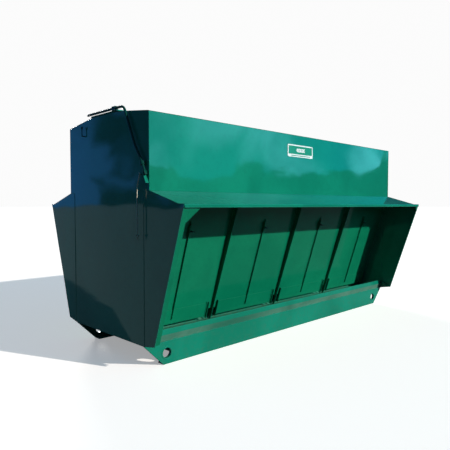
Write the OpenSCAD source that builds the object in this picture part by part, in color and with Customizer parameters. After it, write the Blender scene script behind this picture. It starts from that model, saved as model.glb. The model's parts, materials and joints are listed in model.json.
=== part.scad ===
// Double-sided self-filling stock feeder on skids: a V-shaped hopper under a lidded roof,
// feed gates down both long sides, and a shallow trough under each sheltering canopy.
// Units are millimetres. X runs along the feeder, -Y is the front, Z is up.
// The origin is on the ground, in the middle of the skids.

/* [Body] */
// Length over the end sheets
length = 4500; // [4400:10:4600]
// Half width of the upper box
box_half = 750; // [740:1:760]
// Half width over the canopy lips
lip_half = 1240; // [1220:1:1260]
// Height of the shoulder where box, canopy and hopper wall meet
shoulder_z = 1655; // [1640:1:1670]
// Height of the canopy lip
lip_z = 1535; // [1520:1:1545]
// Height of the eaves of the upper box
eaves_z = 2365; // [2350:1:2375]
// Height of the roof at the edge of the filling opening
knee_z = 2428; // [2424:1:2428]
// Half width of the filling opening
fill_half = 240; // [235:1:245]

/* [Base] */
// Half width over the skid plates
skid_half = 650; // [645:1:655]
// Height of the skid plates
skid_h = 220; // [216:1:224]
// Length of the sloping nose at each skid end
nose = 225; // [180:5:260]
// Distance of each tow sleeve from the middle
tow_x = 1985; // [1960:5:2000]
// Height of the tow sleeves
tow_z = 108; // [104:1:112]
// Inner radius of a tow sleeve
tow_r = 48; // [40:1:50]
// Height of the trough lip
trough_lip_z = 340; // [330:1:350]

/* [Gates] */
// Height of the lower edge of the hopper wall
wall_foot_z = 365; // [355:1:375]
// Height of the gates' upper edge
gate_top_z = 435; // [425:1:445]
// Height of the gates' lower edge
gate_low_z = 275; // [272:1:280]
// Free distance between a gate's end and the web beside it
gate_side = 75; // [70:1:80]

/* [Lid] */
// Height of the lid's top
lid_z = 2440; // [2439:1:2441]
// Half width of the lid
lid_half = 262; // [262:1:262]
// Diameter of the lever bar
lever_d = 25; // [22:1:26]

/* [Hidden] */
$fn = 48;

// sheet and plate thicknesses
t = 4;
t_end = 5;
t_skid = 12;
h = length / 2;
xi = h - t_end;
seam = 660;
lip_drop = 32;
lip_flat = 74;
// slope of the hopper wall, horizontal run per unit of height
wall_low_z = 248;
wall_low_u = 303;
wall_k = (box_half - wall_low_u) / (shoulder_z - wall_low_z);
wall_a = atan(wall_k);
roof_k = (knee_z - eaves_z) / (box_half - fill_half);
canopy_k = (shoulder_z - lip_z - 2) / (lip_half - lip_flat - box_half);
wing_low_u = 815;
wing_low_z = 250;
wing_k = (lip_half - wing_low_u) / (lip_z - wing_low_z);
web_x = [-length / 4, 0, length / 4];
web_t = 6;
bay_x = [-3 * length / 8, -length / 8, length / 8, 3 * length / 8];
gate_w = length / 4 - web_t - 2 * gate_side;
floor_z = skid_h + t;
bar_top_z = 1365;
strap_z = 1275;
hinge_x = [-1900, -640, 640, 1900];
hinge_y = -272;
hinge_z = 2452;
lever_x = -h - 26;
lever_pts = [[290, hinge_z], [-340, hinge_z], [-384, 2434], [-412, 2398], [-568, 2070],
    [-668, 1930], [-730, 1800]];
knee = 5;
foot = 6;
cord_x = -h - 48;
cord_y = -664;
cord_z = 1800;
cord_r = 6;
cord_route = [[cord_x, cord_y, 1787], [cord_x, cord_y, 1780], [cord_x, cord_y + 5, 1762],
    [cord_x - 1, cord_y + 16, 1736], [cord_x - 2, cord_y + 24, 1706],
    [cord_x - 2, cord_y + 29, 1674], [cord_x - 1, cord_y + 32, 1642],
    [cord_x, cord_y + 34, 1610], [cord_x, cord_y + 36, 1580], [cord_x, cord_y + 36, 1550],
    [cord_x, cord_y + 35, 1520], [cord_x - 1, cord_y + 34, 1490],
    [cord_x - 2, cord_y + 33, 1460], [cord_x - 2, cord_y + 32, 1430],
    [cord_x - 1, cord_y + 31, 1400], [cord_x, cord_y + 31, 1370], [cord_x, cord_y + 31, 1340],
    [cord_x, cord_y + 32, 1310], [cord_x, cord_y + 32, 1280], [cord_x, cord_y + 32, 1262]];

function wall_u(z) = box_half - wall_k * (shoulder_z - z);
function roof_at(u) = eaves_z + roof_k * (box_half - u);
function slope_pt(z, n) = [wall_u(z) + n * cos(wall_a), z - n * sin(wall_a)];

// a section drawn as [outward, up] and run along X between x0 and x1 on the front side
module front_run(x0, x1) {
    translate([x0, 0, 0])
        rotate([90, 0, 90])
            linear_extrude(x1 - x0)
                mirror([1, 0])
                    children();
}

module rear() {
    mirror([0, 1, 0])
        children();
}

module right_end() {
    mirror([1, 0, 0])
        children();
}

module sheet_end() {
    color("darkgreen")
        front_run(-h, -xi)
            polygon([[-seam, skid_h], [seam, skid_h], [seam, shoulder_z], [box_half, shoulder_z],
                [box_half, eaves_z], [fill_half, knee_z], [fill_half, knee_z + 6],
                [-fill_half, knee_z + 6], [-fill_half, knee_z], [-box_half, eaves_z],
                [-box_half, shoulder_z], [-seam, shoulder_z]]);
}

module end_sheet_left() {
    sheet_end();
}

module end_sheet_right() {
    right_end()
        sheet_end();
}

module wing() {
    color("darkgreen")
        front_run(-h, -xi)
            polygon([[seam, skid_h + 2], [wing_low_u, wing_low_z], [lip_half, lip_z],
                [lip_half - lip_flat, lip_z + 2], [box_half, shoulder_z], [seam, shoulder_z]]);
}

module wing_left_front() {
    wing();
}

module wing_left_rear() {
    rear()
        wing();
}

module wing_right_front() {
    right_end()
        wing();
}

module wing_right_rear() {
    right_end()
        rear()
            wing();
}

module side_sheet() {
    color("green")
        front_run(-xi, xi)
            polygon([[box_half, shoulder_z], [box_half, eaves_z - t],
                [box_half - t, roof_at(box_half - t) - t], [box_half - t, shoulder_z]]);
}

module side_front() {
    side_sheet();
}

module side_rear() {
    rear()
        side_sheet();
}

module canopy() {
    edge = lip_half - lip_flat;
    color("seagreen")
        front_run(-xi, xi)
            polygon([[box_half, shoulder_z], [edge, lip_z + 2], [lip_half, lip_z],
                [lip_half, lip_z - lip_drop], [lip_half - t, lip_z - lip_drop],
                [lip_half - t, lip_z - t], [edge, lip_z + 2 - t], [box_half, shoulder_z - t]]);
}

module canopy_front() {
    canopy();
}

module canopy_rear() {
    rear()
        canopy();
}

module hopper_wall() {
    color("forestgreen")
        front_run(-xi, xi)
            polygon([[box_half, shoulder_z], [box_half - t, shoulder_z],
                [wall_u(wall_foot_z) - t, wall_foot_z], [wall_u(wall_foot_z), wall_foot_z]]);
}

module hopper_wall_front() {
    hopper_wall();
}

module hopper_wall_rear() {
    rear()
        hopper_wall();
}

// roof slope with the upstand that the lid closes over
module roof() {
    top = lid_z - t - 0.3;
    in = fill_half + t;
    color("green")
        front_run(-xi, xi)
            polygon([[box_half, eaves_z - t], [box_half, eaves_z], [in, roof_at(in)], [in, top],
                [fill_half, top], [fill_half, knee_z - t]]);
}

module roof_front() {
    roof();
}

module roof_rear() {
    rear()
        roof();
}

module skid() {
    color("green")
        difference() {
            translate([0, -skid_half + t_skid, 0])
                rotate([90, 0, 0])
                    linear_extrude(t_skid)
                        polygon([[-h, skid_h], [-h + nose, 0], [h - nose, 0], [h, skid_h]]);
            for (x = [-tow_x, tow_x])
                translate([x, -skid_half - 1, tow_z])
                    rotate([-90, 0, 0])
                        cylinder(r = tow_r + 12.1, h = t_skid + 2);
        }
}

module skid_front() {
    skid();
}

module skid_rear() {
    rear()
        skid();
}

// flat runners welded along the foot of both skid plates
module runner_feet() {
    wide = 80;
    run = length - 2 * nose;
    for (s = [-1, 1])
        color("darkgreen")
            translate([0, s * (skid_half - t_skid - wide / 2), 6])
                cube([run, wide, 12], center = true);
}

module sleeve() {
    difference() {
        cylinder(r = tow_r + 12, h = 34);
        translate([0, 0, -1])
            cylinder(r = tow_r, h = 36);
    }
}

module tow_sleeves() {
    for (x = [-tow_x, tow_x], s = [0, 180])
        color("darkslategray")
            rotate([0, 0, s])
                translate([x, -skid_half - 2, tow_z])
                    rotate([-90, 0, 0])
                        sleeve();
}

// tubes across the base, under the trough floor
module cross_members() {
    w = 2 * (skid_half - t_skid);
    for (x = [-1885, -945, 0, 945, 1885])
        color("darkgreen")
            translate([x, 0, skid_h - 60])
                difference() {
                    cube([80, w, 120], center = true);
                    cube([70, w + 2, 110], center = true);
                }
}

module trough_floor() {
    color("olivedrab")
        translate([0, 0, floor_z - t / 2])
            cube([2 * xi, 2 * skid_half, t], center = true);
}

// the board stands on the floor, leans out over the skid plate and ends in a folded lip
module trough_board() {
    in = skid_half - 10;
    out = skid_half + 6;
    z = trough_lip_z;
    color("green")
        front_run(-xi, xi)
            polygon([[in - t, floor_z], [in, floor_z], [in, floor_z + 8], [out, z - 53], [out, z],
                [out - 25, z], [out - 25, z - t], [out - t, z - t], [out - t, z - 53],
                [in - t, floor_z + 8]]);
}

module trough_board_front() {
    trough_board();
}

module trough_board_rear() {
    rear()
        trough_board();
}

// short flats that tie the trough lip to the wings' lower corners
module stay() {
    a = [skid_half + 6.5, trough_lip_z - 4];
    b = [wing_low_u - 45, wing_low_z + 25];
    front_run(-xi, -xi + 30)
        polygon([a, b, b - [0, 8], a - [0, 8]]);
}

module trough_stays() {
    for (m = [0, 1], r = [0, 1])
        color("green")
            mirror([m, 0, 0])
                mirror([0, r, 0])
                    stay();
}

// folded ridge that sends the feed to both sides
module deflector() {
    side = 240;
    top = 480;
    color("olivedrab")
        front_run(-xi, xi)
            polygon([[-side, floor_z], [0, top], [side, floor_z], [side - 6, floor_z],
                [0, top - 7.5], [6 - side, floor_z]]);
}

// upright plates that carry the hopper wall on the trough floor
module web() {
    top_u = 812;
    top_z = shoulder_z - canopy_k * (top_u - box_half) - 7;
    front_run(-web_t / 2, web_t / 2)
        polygon([[wall_u(floor_z), floor_z], [wall_u(floor_z) + 30, floor_z],
            [top_u, top_z], [wall_u(shoulder_z - 7), shoulder_z - 7]]);
}

module webs_front() {
    for (x = web_x)
        color("darkgreen")
            translate([x, 0, 0])
                web();
}

module webs_rear() {
    rear()
        webs_front();
}

// strip along a wing's open edge with a corner plate under the canopy lip
module edge_strip(w, tri) {
    k = atan(wing_k);
    run = (lip_z - lip_drop - wing_low_z) / cos(k);
    top = run - 8;
    in = w - xi + 0.3;
    translate([0, -wing_low_u, wing_low_z])
        rotate([90 + k, 0, 0])
            linear_extrude(t) {
                translate([-xi, 14])
                    square([w, top - 14]);
                polygon([[in, top - tri], [in + tri, top], [in, top]]);
            }
}

module opening_frame_left() {
    for (r = [0, 1])
        color("green")
            mirror([0, r, 0])
                translate([0, 6.5, 0])
                    edge_strip(52, 130);
}

module opening_frame_right() {
    for (r = [0, 1])
        color("green")
            right_end()
                mirror([0, r, 0])
                    translate([0, 6.5, 0])
                        edge_strip(8, 50);
}

module tie_bars() {
    z = 1500;
    half = wall_u(z - 12) - t;
    for (x = web_x)
        color("darkolivegreen")
            translate([x, half, z])
                rotate([90, 0, 0])
                    cylinder(d = 24, h = 2 * half);
}

// frame lying on the hopper wall's outer face: X along, Y up the slope, Z outward
module on_wall(x, z) {
    translate([x, -wall_u(z), z])
        rotate([90 + wall_a, 0, 0])
            children();
}

module guide_section() {
    union() {
        square([5, 25]);
        translate([0, 5.4])
            square([20, 4]);
    }
}

module gate_guides_front() {
    low = 262;
    len = 200;
    for (x = bay_x, m = [0, 1])
        color("darkgreen")
            on_wall(x, low)
                mirror([m, 0, 0])
                    translate([-gate_w / 2 - 8, len, 0])
                        rotate([90, 0, 0])
                            linear_extrude(len)
                                guide_section();
}

module gate_guides_rear() {
    rear()
        gate_guides_front();
}

module strap() {
    difference() {
        translate([-14, -60, 0])
            cube([28, 120, 30]);
        translate([-6, -61, -1])
            cube([12, 122, 25]);
        cylinder(r = 5.1, h = 40);
    }
}

module bar_straps_front() {
    for (x = bay_x)
        color("darkgreen")
            on_wall(x, strap_z)
                strap();
}

module bar_straps_rear() {
    rear()
        bar_straps_front();
}

// screw with a cross grip that pinches the lifting bar in its strap
module clamp_bolt() {
    translate([0, 0, 19])
        cylinder(r = 5, h = 38);
    translate([0, 0, 48])
        cylinder(r = 9, h = 12);
    translate([-26, 0, 54])
        rotate([0, 90, 0])
            cylinder(r = 4, h = 52);
}

module clamp_bolts_front() {
    for (x = bay_x)
        color("silver")
            on_wall(x, strap_z)
                clamp_bolt();
}

module clamp_bolts_rear() {
    rear()
        clamp_bolts_front();
}

// sliding plate with its lifting bar welded on edge up the middle
module gate(i) {
    up = (gate_top_z - gate_low_z) / cos(wall_a);
    bar_low = 60;
    bar_up = (bar_top_z - gate_low_z) / cos(wall_a);
    color("limegreen")
        on_wall(bay_x[i], gate_low_z)
            difference() {
                union() {
                    translate([-gate_w / 2, 0, 0.5])
                        cube([gate_w, up, 4]);
                    translate([-4, bar_low, 4.5])
                        cube([8, bar_up - bar_low, 14]);
                }
                translate([-5, bar_up - 14, 11.5])
                    rotate([0, 90, 0])
                        cylinder(r = 4, h = 10);
            }
}

module gate_f1() {
    gate(0);
}

module gate_f2() {
    gate(1);
}

module gate_f3() {
    gate(2);
}

module gate_f4() {
    gate(3);
}

module gate_r1() {
    rear()
        gate(0);
}

module gate_r2() {
    rear()
        gate(1);
}

module gate_r3() {
    rear()
        gate(2);
}

module gate_r4() {
    rear()
        gate(3);
}

module hinge_bases() {
    base = roof_at(-hinge_y);
    for (x = hinge_x)
        color("dimgray")
            translate([x, 0, 0])
                difference() {
                    union() {
                        translate([0, 0, 0.02])
                            front_run(-55, 55)
                                polygon([[-hinge_y - 8, roof_at(-hinge_y - 8)],
                                    [-hinge_y + 50, roof_at(-hinge_y + 50)],
                                    [-hinge_y + 50, roof_at(-hinge_y + 50) + 4],
                                    [-hinge_y - 8, roof_at(-hinge_y - 8) + 4]]);
                        for (s = [-55, 27])
                            translate([s, hinge_y, hinge_z])
                                rotate([0, 90, 0])
                                    cylinder(r = 9, h = 28);
                        for (s = [-55, 27])
                            translate([s, hinge_y - 6, base + 2])
                                cube([28, 12, hinge_z - base - 2]);
                    }
                    translate([-56, hinge_y, hinge_z])
                        rotate([0, 90, 0])
                            cylinder(r = 4.08, h = 112);
                }
}

module hinge_pins() {
    for (x = hinge_x)
        color("silver")
            translate([x - 58, hinge_y, hinge_z])
                rotate([0, 90, 0])
                    cylinder(r = 4, h = 116);
}

// forked peg on the left end sheet: the lever stops under it and the cord is caught over it
module open_catch() {
    color("darkgreen")
        translate([-h, 424, 2250]) {
            translate([-30, 0, 0])
                cube([30, 6, 10]);
            translate([-30, 0, 9])
                cube([8, 6, 57]);
            for (s = [-1, 1])
                translate([-30, 3, 66])
                    rotate([s * 22, 0, 0])
                        translate([0, -3, -4])
                            cube([8, 6, 46]);
        }
}

module plate_at(dz, w, hh, lift, thick) {
    translate([-20, -box_half - lift - thick / 2, 2176 + dz])
        cube([w, thick, hh], center = true);
}

module nameplate() {
    color("white")
        plate_at(0, 500, 146, 0, 3);
}

module nameplate_panel() {
    color("seagreen")
        plate_at(10, 468, 98, 3, 1);
}

module nameplate_rivets() {
    for (x = [-256, 216], z = [2109, 2243])
        color("silver")
            translate([x, -box_half - 3, z])
                rotate([90, 0, 0])
                    cylinder(r = 4, h = 2);
}

// tray that closes over the roof upstands
module lid() {
    skirt = 12;
    len = 2 * h + 20;
    color("green")
        translate([0, 0, lid_z - skirt / 2])
            difference() {
                cube([len, 2 * lid_half, skirt], center = true);
                translate([0, 0, -t])
                    cube([len - 2 * t, 2 * (lid_half - t), skirt], center = true);
            }
}

module lid_stiffeners() {
    z = lid_z - t - 20;
    for (x = [-1500, 0, 1500])
        color("darkgreen")
            translate([x - 20, -fill_half + 6, z])
                difference() {
                    cube([40, 2 * fill_half - 12, 20]);
                    translate([t, -1, -1])
                        cube([40 - 2 * t, 2 * fill_half, 17]);
                }
}

module hinge_knuckles() {
    for (x = hinge_x)
        color("dimgray")
            translate([x, 0, 0])
                difference() {
                    union() {
                        translate([-26, hinge_y, hinge_z])
                            rotate([0, 90, 0])
                                cylinder(r = 9, h = 52);
                        translate([-26, -lid_half - 5, hinge_z - 21])
                            cube([52, 5, 25]);
                    }
                    translate([-27, hinge_y, hinge_z])
                        rotate([0, 90, 0])
                            cylinder(r = 4.08, h = 54);
                }
}

// round bar from point a to point b, both [y, z], in the lever's plane
module bar(a, b, d) {
    dy = b[0] - a[0];
    dz = b[1] - a[1];
    translate([lever_x, a[0], a[1]])
        rotate([-atan2(dy, dz), 0, 0])
            cylinder(d = d, h = norm([dy, dz]));
}

module ball(p) {
    translate([lever_x, p[0], p[1]])
        sphere(d = lever_d + 2);
}

module lever() {
    color("darkgreen")
        union() {
            for (i = [0:len(lever_pts) - 2])
                bar(lever_pts[i], lever_pts[i + 1], lever_d);
            for (i = [1:len(lever_pts) - 2])
                ball(lever_pts[i]);
        }
}

// saddles that hold the lever on the lid's left skirt
module lever_clips() {
    r = lever_d / 2 + 0.2;
    for (y = [-262, -226])
        color("silver")
            difference() {
                translate([lever_x - 18, y, hinge_z - 24])
                    cube([34, 24, 41]);
                translate([lever_x, y - 1, hinge_z])
                    rotate([-90, 0, 0])
                        cylinder(r = r, h = 26);
            }
}

module lever_collar() {
    dir = lever_pts[foot] - lever_pts[knee];
    a = -atan2(dir[0], dir[1]);
    color("darkgreen")
        translate([lever_x, lever_pts[knee][0], lever_pts[knee][1]])
            rotate([a, 0, 0])
                translate([0, 0, 16])
                    difference() {
                        cylinder(d = lever_d + 18, h = 34);
                        translate([0, 0, -1])
                            cylinder(d = lever_d + 0.4, h = 36);
                    }
}

// flat push plate welded behind the lever's foot
module lever_paddle() {
    dir = lever_pts[foot] - lever_pts[knee];
    a = -atan2(dir[0], dir[1]);
    color("green")
        translate([lever_x, lever_pts[foot][0], lever_pts[foot][1]])
            rotate([a, 0, 0])
                translate([-14, -lever_d / 2 - 8, -30])
                    cube([36, 8, 110]);
}

// rear face of the paddle at height z
function foot_y(z) =
    let (d = lever_pts[foot] - lever_pts[knee], e = d / norm(d), off = lever_d / 2 + 8)
    lever_pts[foot][0] - off * e[1] + (z - lever_pts[foot][1] - off * e[0]) / e[1] * e[0];

// arm from the lever's foot to the pin that the cord's thimble hangs on
module cord_arm() {
    color("dimgray")
        union() {
            translate([lever_x - 5, 0, 0])
                rotate([90, 0, 90])
                    linear_extrude(10)
                        polygon([[foot_y(cord_z - 8), cord_z - 8], [cord_y + 8, cord_z - 8],
                            [cord_y + 8, cord_z + 8], [foot_y(cord_z + 8), cord_z + 8]]);
            translate([cord_x - 8, cord_y, cord_z])
                rotate([0, 90, 0])
                    cylinder(r = 6, h = lever_x - cord_x + 8);
            translate([cord_x - 10, cord_y, cord_z])
                rotate([0, 90, 0])
                    cylinder(r = 10, h = 4);
        }
}

module cord_thimble() {
    color("gray")
        translate([cord_x - 5, cord_y, cord_z])
            rotate([0, 90, 0])
                difference() {
                    cylinder(r = 13, h = 10);
                    translate([0, 0, -1])
                        cylinder(r = 6.3, h = 12);
                }
}

// rings of a tube square to the route, joined by side faces and closed at both ends
function route_dir(p, i) =
    let (a = p[max(i - 1, 0)], b = p[min(i + 1, len(p) - 1)], v = b - a)
    v / norm(v);
function ring(c, v, r, n) =
    let (s = cross(v, [0, 1, 0]), e = s / norm(s), f = cross(v, e))
    [for (k = [0:n - 1]) c + r * (cos(360 * k / n) * e + sin(360 * k / n) * f)];

module tube(p, r, n) {
    pts = [for (i = [0:len(p) - 1]) each ring(p[i], route_dir(p, i), r, n)];
    last = (len(p) - 1) * n;
    sides = [for (i = [0:len(p) - 2], k = [0:n - 1])
        [i * n + k, i * n + (k + 1) % n, (i + 1) * n + (k + 1) % n, (i + 1) * n + k]];
    caps = [[for (k = [n - 1:-1:0]) k], [for (k = [0:n - 1]) last + k]];
    polyhedron(points = pts, faces = concat(sides, caps), convexity = 4);
}

module cord() {
    color("saddlebrown")
        tube(cord_route, cord_r, 10);
}

module cord_knot() {
    color("saddlebrown")
        translate([cord_x, cord_y + 32, 1247])
            sphere(r = 15);
}

end_sheet_left();
end_sheet_right();
wing_left_front();
wing_left_rear();
wing_right_front();
wing_right_rear();
side_front();
side_rear();
canopy_front();
canopy_rear();
hopper_wall_front();
hopper_wall_rear();
roof_front();
roof_rear();
skid_front();
skid_rear();
runner_feet();
tow_sleeves();
cross_members();
trough_floor();
trough_board_front();
trough_board_rear();
trough_stays();
deflector();
webs_front();
webs_rear();
opening_frame_left();
opening_frame_right();
tie_bars();
gate_guides_front();
gate_guides_rear();
bar_straps_front();
bar_straps_rear();
clamp_bolts_front();
clamp_bolts_rear();
gate_f1();
gate_f2();
gate_f3();
gate_f4();
gate_r1();
gate_r2();
gate_r3();
gate_r4();
hinge_bases();
hinge_pins();
open_catch();
nameplate();
nameplate_panel();
nameplate_rivets();
lid();
lid_stiffeners();
hinge_knuckles();
lever();
lever_clips();
lever_collar();
lever_paddle();
cord_arm();
cord_thimble();
cord();
cord_knot();
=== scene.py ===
"""Looks for the skid-mounted gravity grain feeder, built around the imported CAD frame.

Metres, X along the feeder, -Y is the front, Z up, origin on the ground in the middle.
"""

import json
import math

import bmesh
import bpy
from mathutils import Matrix, Vector, noise

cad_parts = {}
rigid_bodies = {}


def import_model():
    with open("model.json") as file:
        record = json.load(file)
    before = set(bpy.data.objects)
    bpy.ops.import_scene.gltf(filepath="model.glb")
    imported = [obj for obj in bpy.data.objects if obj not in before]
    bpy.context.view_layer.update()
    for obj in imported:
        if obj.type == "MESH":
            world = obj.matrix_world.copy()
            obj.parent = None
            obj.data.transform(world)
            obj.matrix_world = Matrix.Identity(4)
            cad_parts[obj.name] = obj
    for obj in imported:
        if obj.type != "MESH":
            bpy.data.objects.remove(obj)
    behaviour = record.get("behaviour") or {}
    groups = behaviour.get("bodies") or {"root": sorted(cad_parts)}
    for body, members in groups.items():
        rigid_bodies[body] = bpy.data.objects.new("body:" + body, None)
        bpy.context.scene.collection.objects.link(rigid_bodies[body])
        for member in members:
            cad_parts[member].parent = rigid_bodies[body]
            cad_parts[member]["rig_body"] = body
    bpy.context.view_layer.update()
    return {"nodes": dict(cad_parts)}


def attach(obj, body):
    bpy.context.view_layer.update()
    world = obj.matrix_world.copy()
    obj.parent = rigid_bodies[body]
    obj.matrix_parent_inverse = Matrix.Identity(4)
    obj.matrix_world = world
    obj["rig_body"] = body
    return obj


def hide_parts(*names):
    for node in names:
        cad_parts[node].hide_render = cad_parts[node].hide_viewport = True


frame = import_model()
NODES = frame["nodes"]

# ---------------------------------------------------------------- camera and stage

CAM_AT = (-4.700, -4.220, 1.523)
CAM_TURN = (math.radians(87.59), 0.0, math.radians(-44.375))
LENS = 37.56


def make_camera():
    data = bpy.data.cameras.new("camera")
    data.lens = LENS
    data.sensor_width = 36
    data.clip_end = 900
    cam = bpy.data.objects.new("camera", data)
    cam.location = CAM_AT
    cam.rotation_euler = CAM_TURN
    bpy.context.scene.collection.objects.link(cam)
    bpy.context.scene.camera = cam


make_camera()
bpy.context.scene.view_settings.view_transform = "Standard"

# ---------------------------------------------------------------- materials


def links_of(mat):
    mat.use_nodes = True
    tree = mat.node_tree
    return tree.nodes, tree.links, tree.nodes["Principled BSDF"]


def tex_noise(nodes, links, coord, scale, detail=3.0, rough=0.55, distort=0.0):
    n = nodes.new("ShaderNodeTexNoise")
    n.inputs["Scale"].default_value = scale
    n.inputs["Detail"].default_value = detail
    n.inputs["Roughness"].default_value = rough
    n.inputs["Distortion"].default_value = distort
    links.new(coord, n.inputs["Vector"])
    return n.outputs["Fac"]


def spread(nodes, links, value, low, high, out_low=0.0, out_high=1.0):
    n = nodes.new("ShaderNodeMapRange")
    n.interpolation_type = "SMOOTHSTEP"
    for name, v in (("From Min", low), ("From Max", high), ("To Min", out_low), ("To Max", out_high)):
        n.inputs[name].default_value = v
    links.new(value, n.inputs["Value"])
    return n.outputs["Result"]


def mixed(nodes, links, fac, a, b):
    n = nodes.new("ShaderNodeMix")
    n.data_type = "RGBA"
    for i, v in ((0, fac), (6, a), (7, b)):
        if hasattr(v, "links"):
            links.new(v, n.inputs[i])
        else:
            n.inputs[i].default_value = v if i == 0 else (*v, 1)
    return n.outputs[2]


def maths(nodes, links, op, a, b):
    n = nodes.new("ShaderNodeMath")
    n.operation = op
    for i, v in ((0, a), (1, b)):
        if hasattr(v, "links"):
            links.new(v, n.inputs[i])
        else:
            n.inputs[i].default_value = v
    return n.outputs[0]


def bumped(nodes, links, bsdf, layers):
    """layers: (height socket, strength, distance) from the coarsest to the finest."""
    last = None
    for height, strength, distance in layers:
        b = nodes.new("ShaderNodeBump")
        b.inputs["Strength"].default_value = strength
        b.inputs["Distance"].default_value = distance
        links.new(height, b.inputs["Height"])
        if last is not None:
            links.new(last, b.inputs["Normal"])
        last = b.outputs["Normal"]
    links.new(last, bsdf.inputs["Normal"])


def enamel(name, deep, light, gloss=(0.34, 0.44), dust=0.02, splash=0.0, chips=0.0, coat=1.0):
    """Sprayed gloss enamel: cloudy tone, orange peel, slow ripples, dust, splashes low down, chips."""
    mat = bpy.data.materials.new(name)
    nodes, links, bsdf = links_of(mat)
    tc = nodes.new("ShaderNodeTexCoord")
    at = tc.outputs["Object"]
    facing = nodes.new("ShaderNodeSeparateXYZ")
    links.new(tc.outputs["Normal"], facing.inputs[0])
    clouds = tex_noise(nodes, links, at, 1.3, 4.0, 0.5, 0.6)
    mottle = tex_noise(nodes, links, at, 22.0, 4.0, 0.6)
    grit = tex_noise(nodes, links, at, 190.0, 2.0, 0.5)
    peel = tex_noise(nodes, links, at, 330.0, 1.0, 0.4)
    ripple = tex_noise(nodes, links, at, 2.6, 1.0, 0.4)
    tone = mixed(nodes, links, spread(nodes, links, clouds, 0.3, 0.72), deep, light)
    shade = tuple(c * 0.8 for c in deep)
    tone = mixed(nodes, links, spread(nodes, links, mottle, 0.42, 0.8, 0.0, 0.3), tone, shade)
    up = spread(nodes, links, facing.outputs["Z"], 0.35, 0.95)
    film = maths(nodes, links, "MULTIPLY", up, spread(nodes, links, mottle, 0.35, 0.7, 0.25, 1.0))
    dirt = maths(nodes, links, "MULTIPLY", film, dust)
    if splash:
        split = nodes.new("ShaderNodeSeparateXYZ")
        links.new(at, split.inputs[0])
        low = spread(nodes, links, split.outputs["Z"], 0.02, 0.42, 1.0, 0.0)
        spatter = spread(nodes, links, grit, 0.5, 0.72)
        wash = maths(nodes, links, "MULTIPLY", low, spread(nodes, links, mottle, 0.4, 0.75))
        soil = maths(nodes, links, "MULTIPLY", wash, spread(nodes, links, spatter, 0.0, 1.0, 0.45, 1.0))
        dirt = maths(nodes, links, "MAXIMUM", dirt, maths(nodes, links, "MULTIPLY", soil, splash))
    tone = mixed(nodes, links, dirt, tone, (0.23, 0.20, 0.15))
    rough = spread(nodes, links, clouds, 0.3, 0.75, gloss[0], gloss[1])
    rough = maths(nodes, links, "ADD", rough, maths(nodes, links, "MULTIPLY", dirt, 0.45))
    rough = maths(nodes, links, "ADD", rough, spread(nodes, links, grit, 0.3, 0.8, -0.015, 0.03))
    if chips:
        scuffs = tex_noise(nodes, links, at, 46.0, 5.0, 0.7, 1.2)
        bare = maths(nodes, links, "MULTIPLY", spread(nodes, links, scuffs, 0.64, 0.7), chips)
        tone = mixed(nodes, links, bare, tone, (0.16, 0.115, 0.085))
        rough = maths(nodes, links, "ADD", rough, maths(nodes, links, "MULTIPLY", bare, 0.3))
        metal = maths(nodes, links, "MULTIPLY", bare, 0.5)
        links.new(metal, bsdf.inputs["Metallic"])
    links.new(tone, bsdf.inputs["Base Color"])
    links.new(rough, bsdf.inputs["Roughness"])
    bsdf.inputs["Coat Weight"].default_value = coat
    bsdf.inputs["Coat Roughness"].default_value = 0.045
    bsdf.inputs["Specular IOR Level"].default_value = 0.05
    bumped(nodes, links, bsdf, [(ripple, 0.35, 0.006), (peel, 0.05, 0.0006)])
    return mat


def zinc(name, tone, rough):
    """Zinc plate: spangled grey, cloudy, with a little white bloom."""
    mat = bpy.data.materials.new(name)
    nodes, links, bsdf = links_of(mat)
    tc = nodes.new("ShaderNodeTexCoord")
    at = tc.outputs["Object"]
    spangle = nodes.new("ShaderNodeTexVoronoi")
    spangle.inputs["Scale"].default_value = 260
    links.new(at, spangle.inputs["Vector"])
    cloud = tex_noise(nodes, links, at, 60.0, 4.0, 0.6)
    tint = mixed(nodes, links, spangle.outputs["Distance"], tuple(c * 0.8 for c in tone), tone)
    tint = mixed(nodes, links, spread(nodes, links, cloud, 0.5, 0.8, 0.0, 0.5), tint, (0.62, 0.62, 0.6))
    links.new(tint, bsdf.inputs["Base Color"])
    bsdf.inputs["Metallic"].default_value = 0.85
    links.new(spread(nodes, links, cloud, 0.3, 0.75, *rough), bsdf.inputs["Roughness"])
    bumped(nodes, links, bsdf, [(cloud, 0.15, 0.0005)])
    return mat


def fibre(name, tone, dark):
    """Weathered polypropylene rope: streaky strands with fuzz and patchy grime."""
    mat = bpy.data.materials.new(name)
    nodes, links, bsdf = links_of(mat)
    tc = nodes.new("ShaderNodeTexCoord")
    stretch = nodes.new("ShaderNodeMapping")
    stretch.inputs["Scale"].default_value = (900, 900, 90)
    links.new(tc.outputs["Object"], stretch.inputs["Vector"])
    streak = tex_noise(nodes, links, stretch.outputs["Vector"], 1.0, 3.0, 0.6)
    grime = tex_noise(nodes, links, tc.outputs["Object"], 38.0, 3.0, 0.6)
    tint = mixed(nodes, links, spread(nodes, links, streak, 0.3, 0.7), dark, tone)
    tint = mixed(nodes, links, spread(nodes, links, grime, 0.5, 0.8, 0.0, 0.45), tint, (0.09, 0.07, 0.05))
    links.new(tint, bsdf.inputs["Base Color"])
    bsdf.inputs["Roughness"].default_value = 0.85
    bsdf.inputs["Sheen Weight"].default_value = 0.3
    bumped(nodes, links, bsdf, [(streak, 0.6, 0.0008)])
    return mat


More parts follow.
